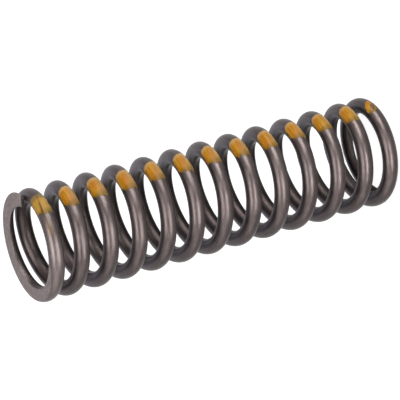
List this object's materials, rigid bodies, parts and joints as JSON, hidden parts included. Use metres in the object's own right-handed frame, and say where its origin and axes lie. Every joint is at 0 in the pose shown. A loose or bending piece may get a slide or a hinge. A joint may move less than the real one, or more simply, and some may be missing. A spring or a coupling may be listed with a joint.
{
  "type": "valve spring",
  "caption": "Left-hand helical compression spring of round steel wire with closed, flat-ground ends, for pushing an engine valve shut.",
  "frame": {"origin": "centre of the lower ground face, on the coil's axis", "axes": "+Z along the coil's axis, from the lower ground face to the upper one; the lower wire tip ends on +X"},
  "size_m": [0.025, 0.025, 0.088],
  "materials": {
    "dark_spring_steel": "satin dark brown-grey oil-tempered wire, bare ground end faces, one line of amber paint marks down the coils"
  },
  "bodies": {
    "root": {"valve_spring": "dark_spring_steel"}
  },
  "joints": []
}
